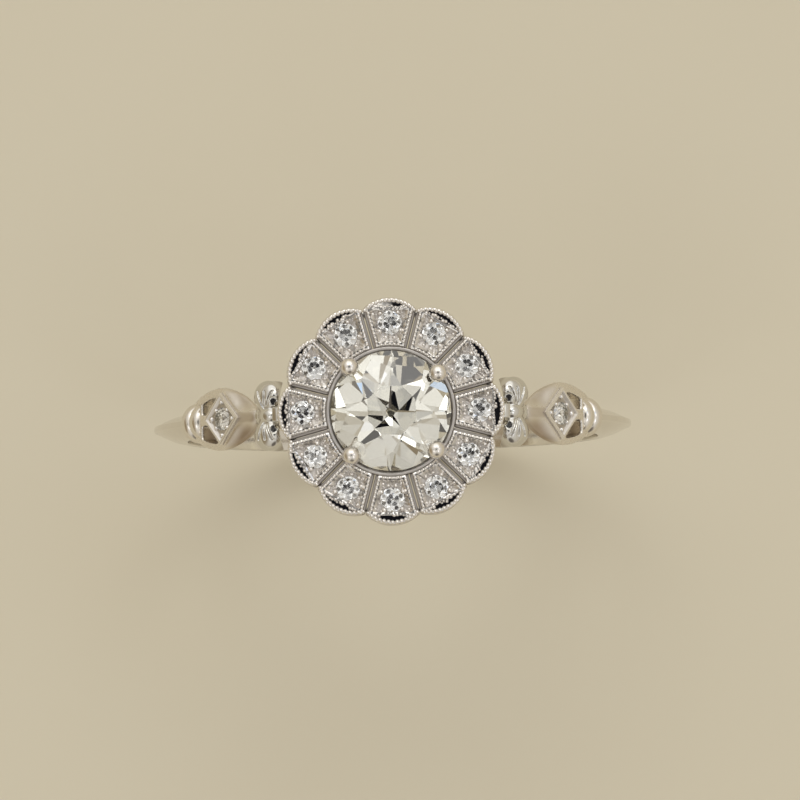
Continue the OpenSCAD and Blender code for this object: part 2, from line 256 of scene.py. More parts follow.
def rounded_profile(inner, outer, bottom, top, edge, steps=4):
    """A rectangle of (radius, z) with quarter-round corners."""
    corners = ((outer - edge, top - edge, 0), (inner + edge, top - edge, 90),
               (inner + edge, bottom + edge, 180), (outer - edge, bottom + edge, 270))
    profile = []
    for r, z, start in corners:
        for k in range(steps + 1):
            turn = math.radians(start + 90 * k / steps)
            profile.append((r + edge * math.cos(turn), z + edge * math.sin(turn)))
    return profile


def turned(angle):
    """Turns a point round the Z axis."""
    c, s = math.cos(angle), math.sin(angle)
    return lambda x, y, z: (x * c - y * s, x * s + y * c, z)


# --- Smooth fields and their meshes ------------------------------------------------------------

def soft_min(a, b, blend):
    """Smallest of two distances, with the corner between them rounded over."""
    share = np.clip(0.5 + 0.5 * (b - a) / blend, 0.0, 1.0)
    return b * (1 - share) + a * share - blend * share * (1 - share)


def soft_max(a, b, blend):
    """Largest of two distances, with the corner between them rounded over."""
    return -soft_min(-a, -b, blend)


def smooth(value, start, end):
    """0 before start, 1 after end, with an easy rise between them."""
    t = np.clip((value - start) / (end - start), 0.0, 1.0)
    return t * t * (3 - 2 * t)


def settle(field, points, passes=4, probe=1e-4):
    """Moves points onto the zero level of a field along its slope."""
    for _ in range(passes):
        value = field(*points.T)
        slope = np.empty_like(points)
        for axis in range(3):
            step = np.zeros(3)
            step[axis] = probe
            slope[:, axis] = (field(*(points + step).T) - field(*(points - step).T)) / (2 * probe)
        size = np.maximum((slope ** 2).sum(axis=1), 0.2)
        move = -(value / size)[:, None] * slope
        points = points + np.clip(move, -0.02, 0.02)
    return points


def mesh_field(field, low, high, step):
    """Surface nets: points and quads on the zero level of a field inside a box."""
    axes = [np.arange(a, b + step, step) for a, b in zip(low, high)]
    grid = np.meshgrid(*axes, indexing="ij")
    value = field(*grid)
    inside = value < 0
    cells = tuple(n - 1 for n in value.shape)
    corners = [(i, j, k) for i in (0, 1) for j in (0, 1) for k in (0, 1)]

    def part(array, corner):
        """The values that an array over the grid has at one corner of every cell."""
        return array[tuple(slice(c, c + n) for c, n in zip(corner, cells))]

    total = np.zeros(cells + (3,))
    count = np.zeros(cells)
    for corner in corners:
        for axis in range(3):
            if corner[axis]:
                continue
            other = tuple(c + (a == axis) for a, c in enumerate(corner))
            crossed = part(inside, corner) != part(inside, other)
            near, far = part(value, corner), part(value, other)
            share = np.where(crossed, near / np.where(crossed, near - far, 1.0), 0.0)
            for a in range(3):
                spot = corner[a] + (share if a == axis else 0.0)
                total[..., a] += np.where(crossed, spot, 0.0)
            count += crossed
    used = count > 0
    index = np.full(cells, -1)
    index[used] = np.arange(used.sum())
    base = np.argwhere(used)
    points = np.array(low) + (base + total[used] / count[used][:, None]) * step
    faces = []
    for axis in range(3):
        b, c = [a for a in range(3) if a != axis]
        low_side = [slice(None)] * 3
        high_side = [slice(None)] * 3
        low_side[axis], high_side[axis] = slice(0, -1), slice(1, None)
        crossed = inside[tuple(low_side)] != inside[tuple(high_side)]
        for spot in np.argwhere(crossed):
            if not (0 < spot[b] < cells[b] and 0 < spot[c] < cells[c]):
                continue
            face = []
            for back_b, back_c in ((1, 1), (0, 1), (0, 0), (1, 0)):
                cell = spot.copy()
                cell[b] -= back_b
                cell[c] -= back_c
                face.append(int(index[tuple(cell)]))
            faces.append(face)
    return settle(field, points), faces


# --- Materials ---------------------------------------------------------------------------------

def link(tree, source, target):
    """Joins an output socket to an input socket."""
    tree.links.new(source, target)


def math_node(tree, operation, *values, clamp=False):
    """A Math node fed with sockets or numbers; returns its output socket."""
    node = tree.nodes.new("ShaderNodeMath")
    node.operation = operation
    node.use_clamp = clamp
    for socket, value in zip(node.inputs, values):
        if isinstance(value, (int, float)):
            socket.default_value = value
        else:
            link(tree, value, socket)
    return node.outputs[0]


def mix_color(tree, amount, first, second):
    """Mixes two colours, given as sockets or tuples, by an amount from 0 to 1."""
    node = tree.nodes.new("ShaderNodeMix")
    node.data_type = "RGBA"
    for socket, value in ((node.inputs[0], amount), (node.inputs[6], first), (node.inputs[7], second)):
        if isinstance(value, tuple):
            socket.default_value = (*value, 1.0)
        elif isinstance(value, (int, float)):
            socket.default_value = value
        else:
            link(tree, value, socket)
    return node.outputs[2]


def noise(tree, scale, detail=2.0, stretch=(1.0, 1.0, 1.0)):
    """Noise in the object's own space; the scale is in features per metre."""
    place = tree.nodes.new("ShaderNodeTexCoord")
    shape = tree.nodes.new("ShaderNodeMapping")
    shape.inputs["Scale"].default_value = stretch
    link(tree, place.outputs["Object"], shape.inputs["Vector"])
    node = tree.nodes.new("ShaderNodeTexNoise")
    node.inputs["Scale"].default_value = scale
    node.inputs["Detail"].default_value = detail
    link(tree, shape.outputs[0], node.inputs["Vector"])
    return node.outputs["Fac"]


def new_material(name):
    """An empty material, its node tree and its shader."""
    material = bpy.data.materials.new(name)
    material.use_nodes = True
    tree = material.node_tree
    return material, tree, tree.nodes["Principled BSDF"]


def white_metal(name, clean, grime_and_shade, roughness, wave, scratch):
    """White metal with painted shade where its tone is high, darker and duller down in its grooves,
    and finely worn all over with random patches of wear; where its tone is below 0 it is brighter
    polished."""
    material, tree, shader = new_material(name)
    tone = tree.nodes.new("ShaderNodeAttribute")
    tone.attribute_name = "tone"
    patch = noise(tree, 1400.0, 3.0)
    worn = math_node(tree, "MULTIPLY_ADD", patch, 0.5, -0.2)
    worn = math_node(tree, "MULTIPLY", worn, 0.35)
    # The tone paints shade into the colour; the noise adds random wear on top.
    depth = math_node(tree, "ADD", tone.outputs["Fac"], worn, clamp=True)
    link(tree, mix_color(tree, depth, clean, grime_and_shade), shader.inputs["Base Color"])
    shader.inputs["Metallic"].default_value = 1.0
    fine = noise(tree, 5200.0, 4.0)
    dull = math_node(tree, "MULTIPLY_ADD", fine, 0.14, roughness - 0.07)
    dull = math_node(tree, "MULTIPLY_ADD", tone.outputs["Fac"], 0.25, dull, clamp=True)
    link(tree, dull, shader.inputs["Roughness"])
    ripple = tree.nodes.new("ShaderNodeBump")
    ripple.inputs["Strength"].default_value = 1.0
    ripple.inputs["Distance"].default_value = wave * MM
    link(tree, noise(tree, 2600.0, 1.0), ripple.inputs["Height"])
    lines = tree.nodes.new("ShaderNodeBump")
    lines.inputs["Strength"].default_value = 1.0
    lines.inputs["Distance"].default_value = scratch * MM
    link(tree, noise(tree, 9000.0, 2.0, (0.12, 1.0, 1.0)), lines.inputs["Height"])
    link(tree, ripple.outputs[0], lines.inputs["Normal"])
    link(tree, lines.outputs[0], shader.inputs["Normal"])
    return material


def diamond(name, clear, tinted, roughness=0.0):
    """Colourless to faintly warm stone with soft clouds in its body colour."""
    material, tree, shader = new_material(name)
    link(tree, mix_color(tree, noise(tree, 900.0, 2.0), clear, tinted), shader.inputs["Base Color"])
    shader.inputs["Transmission Weight"].default_value = 1.0
    shader.inputs["IOR"].default_value = 2.42
    shader.inputs["Roughness"].default_value = roughness
    return material


def floor_material():
    """Plain pale studio floor with a barely uneven tint."""
    material, tree, shader = new_material("floor")
    tint = mix_color(tree, noise(tree, 60.0, 3.0), (0.68, 0.617, 0.48), (0.70, 0.643, 0.51))
    link(tree, tint, shader.inputs["Base Color"])
    shader.inputs["Roughness"].default_value = 0.85
    return material


# Each metal's second colour is what its tone mixes in: painted shade in grooves, windows and seats, and
# also its random wear.
POLISHED = white_metal("polished_metal", (0.79, 0.76, 0.71), (0.22, 0.15, 0.09), 0.14, 0.004, 0.0006)
SHOULDER = white_metal("shoulder_metal", (0.80, 0.76, 0.70), (0.30, 0.20, 0.11), 0.27, 0.006, 0.0010)
# Painted shade: the bows' metal is the polished metal made darker, a shaded copy of it.
SHADED_BOW_METAL = white_metal("bow_metal", (0.70, 0.685, 0.65), (0.20, 0.15, 0.10), 0.13, 0.004, 0.0006)
COLLAR = white_metal("collar_metal", (0.80, 0.76, 0.70), (0.30, 0.20, 0.11), 0.19, 0.006, 0.0008)
SATIN = white_metal("satin_metal", (0.82, 0.78, 0.73), (0.20, 0.15, 0.10), 0.22, 0.006, 0.0010)
ENGRAVED = white_metal("engraved_metal", (0.83, 0.80, 0.77), (0.20, 0.16, 0.13), 0.24, 0.006, 0.0012)
GALLERY = white_metal("gallery_metal", (0.78, 0.75, 0.70), (0.20, 0.15, 0.10), 0.20, 0.005, 0.0015)
CENTRE_GEM = diamond("centre_diamond", (0.90, 0.895, 0.845), (0.865, 0.85, 0.765))
SMALL_GEM = diamond("small_diamond", (1.0, 1.0, 1.0), (0.97, 0.98, 0.99), 0.08)
SHOULDER_GEM = diamond("shoulder_diamond", (0.90, 0.87, 0.81), (0.82, 0.78, 0.70), 0.12)


# --- Cut stones --------------------------------------------------------------------------------

def facet(*corners):
    """Plane through three points: a point on it and its normal, which points up or outward."""
    a, b, c = [Vector(corner) for corner in corners]
    normal = (b - a).cross(c - a).normalized()
    if normal.dot(a + b + c) < 0:
        normal.negate()
    return a, normal


def brilliant_facets(r, table_r, crown, pavilion, girdle, culet_r, half=0.62):
    """Facet planes of an eight-fold brilliant whose girdle is centred on z = 0. Its star facets
    reach half way to the girdle, and its lower halves in to a share of the radius."""
    top = girdle / 2
    cos = math.cos(math.pi / 8)
    star_r = table_r + 0.5 * (r - table_r)
    star_z = top + crown - (star_r * cos - table_r) * crown / (r - table_r)
    half_r = r * half
    half_z = -top - (r - half_r * cos) * pavilion / (r - culet_r * cos)

    def at(radius, eighths, z):
        """A corner point from its radius, its direction in eighths of a turn and its height."""
        turn = math.pi / 4 * eighths
        return (radius * math.cos(turn), radius * math.sin(turn), z)

    planes = [(Vector((0, 0, top + crown)), Vector((0, 0, 1))),
              (Vector((0, 0, -top - pavilion)), Vector((0, 0, -1)))]
    for k in range(8):
        table, after = at(table_r, k, top + crown), at(table_r, k + 1, top + crown)
        tip = at(star_r, k + 0.5, star_z)
        planes.append(facet(table, after, tip))
        planes.append(facet(table, tip, at(star_r, k - 0.5, star_z)))
        lower_tip = at(half_r, k + 0.5, half_z)
        planes.append(facet(at(r, k, -top), lower_tip, at(half_r, k - 0.5, half_z)))
        for end in (k, k + 1):
            planes.append(facet(tip, at(r, end, top), at(r, k + 0.5, top)))
            planes.append(facet(lower_tip, at(r, end, -top), at(r, k + 0.5, -top)))
    return planes


def cut_stone(r, planes, seed, wobble, segments):
    """Cuts a round blank with every facet plane, each tipped a little as on a hand-cut stone."""
    rng = random.Random(seed)
    stone = bmesh.new()
    bmesh.ops.create_cone(stone, cap_ends=True, segments=segments, radius1=r, radius2=r, depth=4 * r)
    for point, normal in planes:
        tip = Vector([rng.gauss(0.0, math.radians(wobble)) for _ in range(3)])
        tipped = (normal + normal.cross(tip)).normalized()
        parts = stone.verts[:] + stone.edges[:] + stone.faces[:]
        cut = bmesh.ops.bisect_plane(stone, geom=parts, dist=1e-7, plane_co=point, plane_no=tipped,
                                     clear_outer=True)
        rim = [item for item in cut["geom_cut"] if isinstance(item, bmesh.types.BMEdge)]
        if rim:
            bmesh.ops.holes_fill(stone, edges=rim, sides=0)
    bmesh.ops.recalc_face_normals(stone, faces=stone.faces)
    return stone


def place_stone(stone, node, matrix, material):
    """Makes a cut stone the object that stands for a CAD node."""
    mesh = bpy.data.meshes.new(node + "_look")
    copy = stone.copy()
    copy.transform(Matrix.Scale(MM, 4) @ matrix)
    copy.to_mesh(mesh)
    copy.free()
    show(mesh, node, material)


def make_centre_diamond():
    """Old-cut stone: small table, high crown, short lower halves and an open culet."""
    planes = brilliant_facets(CENTRE_R, CENTRE_TABLE * CENTRE_R, CENTRE_CROWN,
                              GIRDLE_Z - CENTRE_GIRDLE / 2 - CENTRE_LOW[2], CENTRE_GIRDLE, CENTRE_CULET,
                              half=0.78)
    stone = cut_stone(CENTRE_R, planes, seed=10, wobble=1.0, segments=120)
    matrix = Matrix.Translation((0, 0, GIRDLE_Z)) @ Matrix.Rotation(math.radians(20), 4, "Z")
    place_stone(stone, "centre_diamond", matrix, CENTRE_GEM)


def small_stone(d, seed):
    """A small round brilliant of diameter d."""
    planes = brilliant_facets(d / 2, 0.28 * d, 0.15 * d, 0.42 * d, 0.03 * d, 0.01 * d)
    return cut_stone(d / 2, planes, seed, wobble=0.8, segments=40)


# --- Halo --------------------------------------------------------------------------------------

def petal_angle(i):
    """Direction of petal i, from 1 to 12, numbered like the hours of a clock."""
    return math.pi / 2 - 2 * PETAL_HALF * i


def petal_reach(turn, inset, gap=PETAL_GAP, chord=None):
    """How far a petal's outline, drawn in by an inset, is from its stone in a direction.
    A chord cuts the scalloped end off square at that distance from the halo's centre."""
    dx, dy = math.cos(turn), abs(math.sin(turn))
    lead = HALO_STONE_R - (HALO_TIP - SCALLOP_R)
    reach = math.sqrt((SCALLOP_R - inset) ** 2 - (lead * dy) ** 2) - lead * dx
    closing = dy * math.cos(PETAL_HALF) - dx * math.sin(PETAL_HALF)
    if closing > 1e-6:
        room = HALO_STONE_R * math.sin(PETAL_HALF) - gap / 2 - inset
        reach = min(reach, room / closing)
    inner = COLLET_OUT + inset
    under = (HALO_STONE_R * dx) ** 2 - HALO_STONE_R ** 2 + inner ** 2
    if dx < 0 and under > 0:
        reach = min(reach, -HALO_STONE_R * dx - math.sqrt(under))
    if chord is not None and dx > 1e-6:
        reach = min(reach, (chord - HALO_STONE_R) / dx)
    return reach


def petal_plate(rng):
    """The engraved plate: a lip round it, a bright-cut crescent at its end and a sunk field."""
    segments = 168
    turns = [math.tau * (k + 0.5) / segments for k in range(segments)]
    tilt = rng.uniform(-0.006, 0.006)
    lean = rng.uniform(-0.05, 0.05)
    cut = CHORD_OUT + rng.uniform(-0.02, 0.07)
    ragged = []
    for k in range(segments):
        held = k % 3 and ragged
        ragged.append(ragged[-1] if held else (rng.uniform(-0.03, 0.03), rng.uniform(-0.02, 0.03)))
    plate = Shape()
    rings = []
    tones = []

    def ring(z, inset, tone=0.0, gap=PETAL_GAP, chord=None, depth=0.0, share=0.0, rough=0.0):
        """An outline of the petal at a height, sunk by a depth where the crescent is cut."""
        points = []
        for turn, (wander, dip) in zip(turns, ragged):
            reach = petal_reach(turn, inset + rough * wander, gap, chord)
            room = petal_reach(turn, LIP) - petal_reach(turn, LIP, chord=cut)
            drop = min(depth + lean * math.sin(turn), share * room)
            points.append((HALO_STONE_R + reach * math.cos(turn), reach * math.sin(turn),
                           z - max(drop, 0.0) - rough * dip))
        rings.append(points)
        tones.append(tone)

    def seat(z, r, tone):
        """A round outline of the stone's seat and of the hole behind it."""
        rings.append(circle((HALO_STONE_R, 0.0, z), r, turns))
        tones.append(tone)

    flange = HALO_TOP - 0.34
    field = HALO_TOP - FIELD_DEPTH
    # The third figure of each ring is its tone: painted shade down the petal's sides, under the flange and
    # in the sunk field; the bright cut is left clean and polished.
    ring(PETAL_BOTTOM, 0.04, 0.3, gap=0.05)
    ring(PETAL_BOTTOM + 0.04, 0.0, 0.3, gap=0.05)
    ring(flange - 0.03, 0.0, 0.45, gap=0.05)
    ring(flange, 0.02, 0.6, gap=0.05)
    ring(flange + 0.01, 0.0, 0.6)
    ring(HALO_TOP - 0.20, 0.0, 0.3)
    ring(HALO_TOP - 0.06, 0.0, 0.05)
    ring(HALO_TOP - 0.02, 0.015)
    ring(HALO_TOP, 0.045)
    ring(HALO_TOP, LIP - 0.015)
    ring(HALO_TOP, LIP, BRIGHT_CUT, depth=CUT_DEPTH + tilt, share=CUT_SLOPE)
    ring(HALO_TOP, LIP + 0.004, BRIGHT_CUT, chord=cut, depth=CUT_DEPTH - tilt, share=CUT_SLOPE)
    ring(HALO_TOP, LIP + 0.012, chord=cut - 0.012)
    ring(HALO_TOP, LIP + 0.016, chord=CHORD_IN + 0.015)
    ring(HALO_TOP - 0.015, LIP + 0.03, 0.05, chord=CHORD_IN, rough=0.5)
    ring(HALO_TOP - 0.06, LIP + 0.09, 0.1, chord=CHORD_IN - 0.012, rough=1.0)
    ring(field + 0.01, LIP + 0.17, 0.45, chord=CHORD_IN - 0.02, rough=1.0)
    hole_r = 0.27
    # Painted shade deepens down the stone's seat and the hole behind it.
    seat(field, HALO_STONE_D / 2 - 0.005, 0.6)
    seat(field - 0.08, HALO_STONE_D / 2 - 0.03, 0.8)
    seat(field - 0.25, hole_r, 0.9)
    seat(PETAL_BOTTOM, hole_r, 0.6)
    plate.loft(rings, tones, closed=True)
    return plate


def milgrain(shape, path, length, rng, pitch=0.16, r=0.073):
    """A row of tiny beads along a path, which gives a point for a distance from 0 to length."""
    count = max(2, round(length / pitch))
    for k in range(count):
        x, y = path(length * (k + 0.5) / count)
        size = r * rng.uniform(0.9, 1.06)
        x, y = x + rng.uniform(-0.006, 0.006), y + rng.uniform(-0.006, 0.006)
        shape.dome((x, y, HALO_TOP - 0.012), size, size * rng.uniform(0.8, 1.0))


def petal_beads(shape, rng):
    """Milgrain along every border of a petal, and beads that bite into its crescent."""
    row = 0.082
    side = PETAL_GAP / 2 + row
    start, end = COLLET_OUT + 0.13, CHORD_IN + 0.02
    c, s = math.cos(PETAL_HALF), math.sin(PETAL_HALF)

    def arc(centre, r, half):
        """A path round a centre on the petal's axis, from -half to half."""
        return lambda d: (centre + r * math.cos(d / r - half), r * math.sin(d / r - half))

    for way in (-1, 1):
        def border(d, way=way):
            return (start + d) * c + side * s, way * ((start + d) * s - side * c)
        milgrain(shape, border, (end - start) / c, rng)
    inner = COLLET_OUT + row
    spread = PETAL_HALF - side / inner - 0.03
    milgrain(shape, arc(0.0, inner, spread), 2 * spread * inner, rng)
    lip = SCALLOP_R - 0.105
    spread = 0.82
    milgrain(shape, arc(HALO_TIP - SCALLOP_R, lip, spread), 2 * spread * lip, rng, pitch=0.175, r=0.085)
    half = 0.72
    bites = rng.randint(12, 20)
    for k in range(bites):
        at = (2 * (k + 0.5) / bites - 1) * half + rng.uniform(-0.02, 0.02)
        reach = rng.uniform(-0.04, 0.13) * (1 - (at / half) ** 2)
        size = rng.uniform(0.035, 0.085)
        shape.dome((CHORD_OUT - 0.01 + reach, at, HALO_TOP - 0.065), size, 0.075)


def petal_grains(shape, rng):
    """Bright-cut grains: four corner beads over the stone's edge and a scatter beside them."""
    field = HALO_TOP - FIELD_DEPTH
    for turn in (42, -42, 127, -127):
        angle = math.radians(turn + rng.uniform(-4, 4))
        reach = HALO_STONE_D / 2 + 0.045
        shape.dome((HALO_STONE_R + reach * math.cos(angle), reach * math.sin(angle), field - 0.01),
                   0.115 * rng.uniform(0.9, 1.08), 0.15, tone=GRAIN)
    for x, y, r in ((3.86, 0.66, 0.085), (3.62, 0.62, 0.05), (3.36, 0.555, 0.055), (2.93, 0.16, 0.085),
                    (2.86, 0.34, 0.06), (3.06, 0.44, 0.05), (3.97, 0.47, 0.05)):
        for way in (-1, 1):
            spot = (x + rng.uniform(-0.02, 0.02), way * y + rng.uniform(-0.02, 0.02), field - 0.01)
            shape.dome(spot, r * rng.uniform(0.85, 1.15), r * rng.uniform(0.8, 1.3), tone=GRAIN)
    near = HALO_STONE_D / 2 + 0.05
    for _ in range(60):
        turn = rng.uniform(0, math.tau)
        room = petal_reach(turn, LIP + 0.13, chord=CHORD_IN) - near
        reach = near + rng.uniform(0, 1) * room
        size = rng.uniform(0.025, 0.05)
        if room > 0.02:
            spot = (HALO_STONE_R + reach * math.cos(turn), reach * math.sin(turn), field - 0.005)
            shape.dome(spot, size, size * rng.uniform(0.6, 1.4), segments=6, tone=rng.uniform(-0.6, 0.5))


def make_halo():
    """Twelve engraved petals, each with its own small stone."""
    for i in range(1, PETAL_COUNT + 1):
        rng = random.Random(40 + i)
        petal = petal_plate(rng)
        petal_beads(petal, rng)
        petal_grains(petal, rng)
        name = f"{i:02d}"
        petal.moved(turned(petal_angle(i))).finish("halo_petal_" + name, ENGRAVED)
        place = Matrix.Rotation(petal_angle(i), 4, "Z")
        place = place @ Matrix.Translation((HALO_STONE_R, 0, HALO_TOP - FIELD_DEPTH))
        place = place @ Matrix.Rotation(rng.uniform(0, math.pi / 4), 4, "Z")
        place = place @ Matrix.Rotation(math.radians(rng.uniform(-2, 2)), 4, "X")
        place_stone(small_stone(HALO_STONE_D, i), "halo_diamond_" + name, place, SMALL_GEM)


# --- Centre head and gallery -------------------------------------------------------------------

def sweep(shape, path, r, segments=24, ratio=1.0):
    """A rod along a path of (x, z) in one upright plane, round or a ratio wider across it."""
    rings = []
    for k, (x, z) in enumerate(path):
        before, after = path[max(k - 1, 0)], path[min(k + 1, len(path) - 1)]
        length = math.hypot(after[0] - before[0], after[1] - before[1])
        side = ((after[1] - before[1]) / length, -(after[0] - before[0]) / length)
        ring = []
        for turn in full_turn(segments):
            reach = r * math.cos(turn)
            ring.append((x + side[0] * reach, r * ratio * math.sin(turn), z + side[1] * reach))
        rings.append(ring)
    shape.loft(rings)


def make_prong(i):
    """Wire that leans out from the base rail, turns upright and is balled over the stone's edge."""
    bend = 0.3
    foot = Vector((PRONG_FOOT_R, BASE_TOP))
    elbow = Vector((PRONG_R, PRONG_BEND_Z))
    lean = (elbow - foot).normalized()
    path = [tuple(foot - lean * 0.1), tuple(foot + lean * 0.3)]
    start = elbow - lean * bend
    end = elbow + Vector((0.0, bend))
    for k in range(9):
        t = k / 8
        path.append(tuple(start * (1 - t) ** 2 + elbow * 2 * t * (1 - t) + end * t * t))
    path.append((PRONG_R, COLLET_TOP))
    path.append((PRONG_R - 0.01, GIRDLE_Z))
    path.append((PRONG_R - 0.02, BALL_Z - 0.2))
    prong = Shape()
    sweep(prong, path, PRONG_WIRE / 2)
    rows = 14
    ball = BALL_D / 2
    squash = 0.94
    turns = full_turn(32)
    rings = []
    for row in range(1, rows):
        lift = math.pi * row / rows - math.pi / 2
        reach = ball * math.cos(lift)
        height = BALL_Z + ball * squash * math.sin(lift)
        rings.append(circle((BALL_R, 0.0, height), reach, turns))
    prong.loft(rings)
    prong = prong.moved(turned(math.radians(PRONG_ANGLES[i - 1])))
    prong.finish(f"prong_{i}", SATIN, sharp=50.0)


def make_collet():
    """Tube under the stone's edge, its lip rounded and its inside bevelled for the stone."""
    bevel = COLLET_TOP - 0.28
    lip = COLLET_TOP + 0.05
    lip_in = 2.40
    profile = [(COLLET_OUT - 0.05, COLLET_LOW), (COLLET_OUT, COLLET_LOW + 0.05), (COLLET_OUT, lip - 0.03),
               (COLLET_OUT - 0.01, lip - 0.01), (COLLET_OUT - 0.03, lip), (COLLET_OUT - 0.08, lip),
               (lip_in, lip - 0.03), (lip_in - 0.06, lip - 0.07), (COLLET_IN + 0.02, bevel),
               (COLLET_IN, bevel - 0.03), (COLLET_IN, COLLET_LOW + 0.04), (COLLET_IN + 0.04, COLLET_LOW)]
    # Painted shade for each point of the profile: the whole collet is darkened, most in the bevel under
    # the stone.
    tones = [0.3, 0.3, 0.5, 0.45, 0.4, 0.35, 0.35, 0.5, 0.6, 0.5, 0.4, 0.3]
    collet = Shape()
    collet.lathe(profile, 144, tones)
    collet.finish("centre_collet", ENGRAVED)


def make_rails():
    """The gallery rail under the petals and the base rail that stands on the bridge."""
    rail = Shape()
    rail.lathe(rounded_profile(RAIL_IN, RAIL_OUT, RAIL_LOW, RAIL_TOP, 0.05), 160)
    rail.finish("gallery_rail", GALLERY)
    rings = []
    for r, z, follows in ((BASE_IN, BASE_TOP - 0.05, False), (BASE_IN + 0.05, BASE_TOP, False),
                          (BASE_OUT - 0.06, BASE_TOP, False), (BASE_OUT, BASE_TOP - 0.06, False),
                          (BASE_OUT, BASE_LOW, True), (BASE_IN, BASE_LOW, True)):
        ring = []
        for x, y, _ in circle((0.0, 0.0, 0.0), r, full_turn(96)):
            under = BRIDGE_R if abs(y) < BRIDGE_HALF_W + 0.04 else FINGER_R + 0.05
            ring.append((x, y, math.sqrt(under ** 2 - x ** 2) if follows else z))
        rings.append(ring)
    base = Shape()
    base.loft(rings, closed=True)
    base.finish("base_rail", GALLERY)


def make_strut(i):
    """Flat strut that sweeps out from the base rail to the gallery rail."""
    steps = 20
    half_t = 0.13
    rise = 1.6
    low = BASE_TOP - 0.3
    path = []
    for k in range(steps + 1):
        t = k / steps
        path.append((BASE_OUT - 0.02 + (RAIL_IN + 0.12 - BASE_OUT) * t,
                     low - half_t + (RAIL_LOW - low) * t ** rise))
    strut = Shape()
    sweep(strut, path, half_t, ratio=STRUT_W / (2 * half_t))
    strut = strut.moved(turned(math.tau * (i - 0.5) / STRUT_COUNT))
    strut.finish(f"gallery_strut_{i}", GALLERY, sharp=50.0)


# --- Hoop --------------------------------------------------------------------------------------

def round_finger(r, y, angle):
    """A point of the hoop from its radius, its Y and its angle round the finger."""
    return (r * math.cos(angle), y, r * math.sin(angle))


def hoop_section():
    """Knife-edge section in (radius, Y): soft inner corners, rising sides and a narrow crest."""
    crest_w = 0.06
    height = HOOP_R - FINGER_R
    side = [(FINGER_R, HOOP_HALF_W - 0.14), (FINGER_R + 0.02, HOOP_HALF_W - 0.05)]
    for k in range(1, 17):
        t = 0.06 + 0.94 * k / 16
        side.append((FINGER_R + height * t, crest_w + (HOOP_HALF_W - crest_w) * (1 - t ** 1.8)))
    side[-1] = (HOOP_R, 0.035)
    side[-2] = (HOOP_R - 0.02, side[-2][1])
    return side + [(r, -y) for r, y in reversed(side)]


def make_shank():
    """The domed hoop between the collars and the thin bridge that closes it under the head."""
    shank = Shape()
    section = hoop_section()
    band = rounded_profile(-BRIDGE_HALF_W, BRIDGE_HALF_W, 0.0, BRIDGE_R - FINGER_R, 0.08)
    band = [(FINGER_R + r, y) for y, r in band]
    overlap = 0.1
    for profile, start, end, steps in (
            (section, math.pi - HOOP_END, math.tau + HOOP_END, 200),
            (band, HOOP_END - overlap, math.pi - HOOP_END + overlap, 90)):
        angles = [start + (end - start) * k / steps for k in range(steps + 1)]
        shank.loft([[round_finger(r, y, angle) for r, y in profile] for angle in angles])
    shank.finish("shank", POLISHED)


# --- Shoulders ---------------------------------------------------------------------------------

def along(phi):
    """Distance u of an angle on the shoulder's curve, from the middle of the lozenge."""
    return math.radians(phi - LOZENGE_PHI) * SHOULDER_R


def on_shoulder(u, v, w):
    """A point of the right shoulder from its (u, v, w)."""
    phi = math.radians(LOZENGE_PHI) + u / SHOULDER_R
    r = SHOULDER_R + w
    return (SHOULDER_X + r * np.cos(phi), v, SHOULDER_Z + r * np.sin(phi))


def mirrored(x, y, z):
    """The same point on the left-hand side."""
    return (-x, y, z)


def lozenge_place():
    """Matrix of the lozenge's own plane: X along the curve toward the head and Z outward."""
    phi = math.radians(LOZENGE_PHI)
    out = Vector((math.cos(phi), 0.0, math.sin(phi)))
    toward = Vector((-math.sin(phi), 0.0, math.cos(phi)))
    matrix = Matrix((toward, out.cross(toward), out)).transposed().to_4x4()
    matrix.translation = Vector(on_shoulder(0, 0, 0))
    return matrix


def both_sides(shape, part, material, sharp=40.0):
    """The right-hand piece, drawn in the ring's frame, and its mirror image on the left."""
    shape.finish("right_" + part, material, sharp)
    shape.moved(mirrored).finish("left_" + part, material, sharp)


def leaf_edge(u, v):
    """Distance out from the leaf's outline in its own plane, negative inside."""
    arc_r = np.where(u < -0.15, LEAF_COLLAR_ARC_R, LEAF_BOW_ARC_R)
    return np.hypot(u + 0.15, np.abs(v) + arc_r - LEAF_W / 2) - arc_r


def lozenge_edge(u, v):
    """Distance out from the lozenge's outline, negative inside."""
    return (np.abs(u) + np.abs(v) - LOZENGE_W / 2) / math.sqrt(2)


def leaf_flute(u, v):
    """How far down the hollows beside the stem and the lozenge a point is, from 0 to 1."""
    raised = soft_min(lozenge_edge(u, v) - 0.07, np.abs(v) - 0.09, 0.30)
    return smooth(raised, 0.0, 0.45) * smooth(u, -0.20, 0.10) * (1 - 0.4 * smooth(u, 1.2, 1.9))


